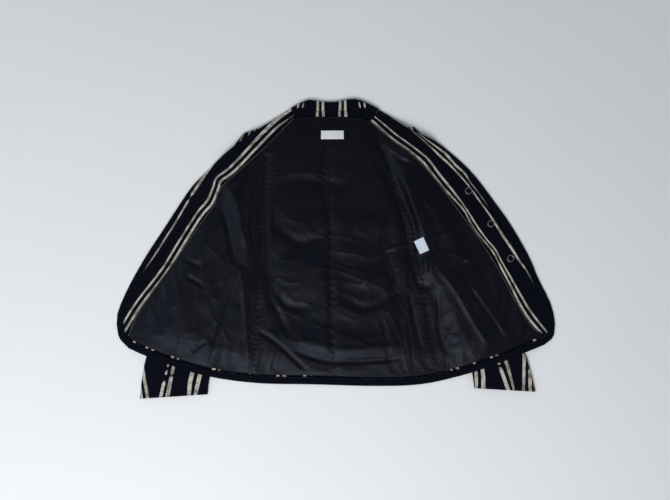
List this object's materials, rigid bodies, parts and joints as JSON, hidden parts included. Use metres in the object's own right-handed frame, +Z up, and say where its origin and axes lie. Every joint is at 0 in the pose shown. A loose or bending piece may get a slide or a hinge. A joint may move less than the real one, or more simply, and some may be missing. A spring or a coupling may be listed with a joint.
{
  "type": "blazer laid open with the lining up",
  "caption": "Cropped collarless-front blazer in navy cloth with metallic stripe pairs, satin lining and edge band, laid open on its back with the sleeves under the fronts.",
  "frame": {"origin": "on the surface that the blazer lies on, at the middle of its outline", "axes": "+X towards the wearer's left front, +Y from the hem to the collar, +Z up, out of the lining"},
  "size_m": [0.8737, 0.601, 0.0242],
  "materials": {
    "tweed": "matt navy weave with pairs of pale metallic stripes",
    "band": "plain matt navy weave",
    "satin": "dark navy lining satin with a soft sheen",
    "label": "white woven tape, bare",
    "snap": "polished snap metal"
  },
  "bodies": {
    "root": {"back_shell": "tweed", "front_shell_right": "tweed", "front_shell_left": "tweed", "facing_right": "tweed", "facing_left": "tweed", "sleeve_under_right": "tweed", "sleeve_under_left": "tweed", "sleeve_top_right": "tweed", "sleeve_top_left": "tweed", "collar": "tweed", "neck_facing": "tweed", "edge_band_right": "band", "edge_band_hem": "band", "edge_band_left": "band", "lining_back_right": "satin", "lining_back_left": "satin", "lining_front_right": "satin", "lining_front_left": "satin", "lining_side_right": "satin", "lining_side_left": "satin", "label_neck": "label", "label_care": "label", "snap_socket_1": "snap", "snap_socket_2": "snap", "snap_socket_3": "snap", "snap_stud_1": "snap", "snap_stud_2": "snap", "snap_stud_3": "snap"}
  },
  "joints": []
}
